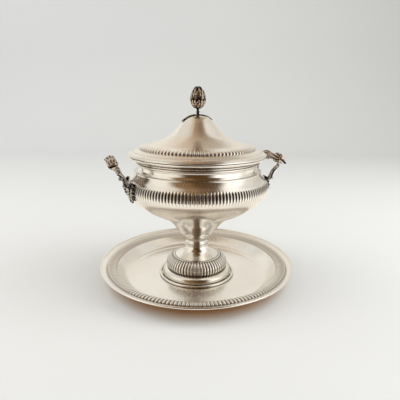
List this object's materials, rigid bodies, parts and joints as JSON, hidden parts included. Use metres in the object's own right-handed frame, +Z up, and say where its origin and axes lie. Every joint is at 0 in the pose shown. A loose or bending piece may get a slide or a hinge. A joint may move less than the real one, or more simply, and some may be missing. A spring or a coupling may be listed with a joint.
{
  "type": "covered soup tureen on a tray",
  "caption": "Round footed soup tureen with a domed lid, bud finial, reeded bands and two cast bracket handles, standing on a wide round tray.",
  "frame": {"origin": "middle of the tray's underside, on the table", "axes": "+Z up along the axis of the bowl; +X towards the right-hand handle, -X towards the left-hand handle; -Y is the front"},
  "size_m": [0.305, 0.305, 0.2933],
  "materials": {
    "tray_plate": "silver plate, worn and satin with fine scratches",
    "polished_plate": "silver plate, polished, warm tone",
    "cast_ornament": "silver plate over casting, dark tarnish in the recesses",
    "hardware": "plain brass, dull"
  },
  "bodies": {
    "tray": {"tray_dish": "tray_plate", "tray_rim_wire": "tray_plate"},
    "tureen": {"foot_shell": "polished_plate", "foot_rim_wire": "polished_plate", "stem_collar_lower": "polished_plate", "stem_spool": "polished_plate", "stem_collar_upper": "polished_plate", "stem_stud": "hardware", "stem_washer": "hardware", "stem_nut": "hardware", "bowl_shell": "polished_plate", "bowl_rim_moulding": "polished_plate", "handle_left_grip": "cast_ornament", "handle_left_arm_front": "cast_ornament", "handle_left_arm_back": "cast_ornament", "handle_left_root_leaf_front": "cast_ornament", "handle_left_root_leaf_back": "cast_ornament", "handle_left_corner_leaf_front": "cast_ornament", "handle_left_corner_leaf_back": "cast_ornament", "handle_right_grip": "cast_ornament", "handle_right_arm_front": "cast_ornament", "handle_right_arm_back": "cast_ornament", "handle_right_root_leaf_front": "cast_ornament", "handle_right_root_leaf_back": "cast_ornament", "handle_right_corner_leaf_front": "cast_ornament", "handle_right_corner_leaf_back": "cast_ornament"},
    "lid": {"lid_shell": "polished_plate", "lid_rim_wire": "polished_plate", "lid_bezel": "polished_plate", "finial_stem": "cast_ornament", "finial_bud": "cast_ornament", "finial_leaf_left": "cast_ornament", "finial_leaf_right": "cast_ornament", "finial_washer": "hardware", "finial_nut": "hardware"}
  },
  "joints": [
    {"name": "tureen_lift", "type": "slide", "parent": "tray", "child": "tureen", "axis": [0, 0, 1], "range_m": [0, 0.12]},
    {"name": "lid_lift", "type": "slide", "parent": "tureen", "child": "lid", "axis": [0, 0, 1], "range_m": [0, 0.15]}
  ]
}
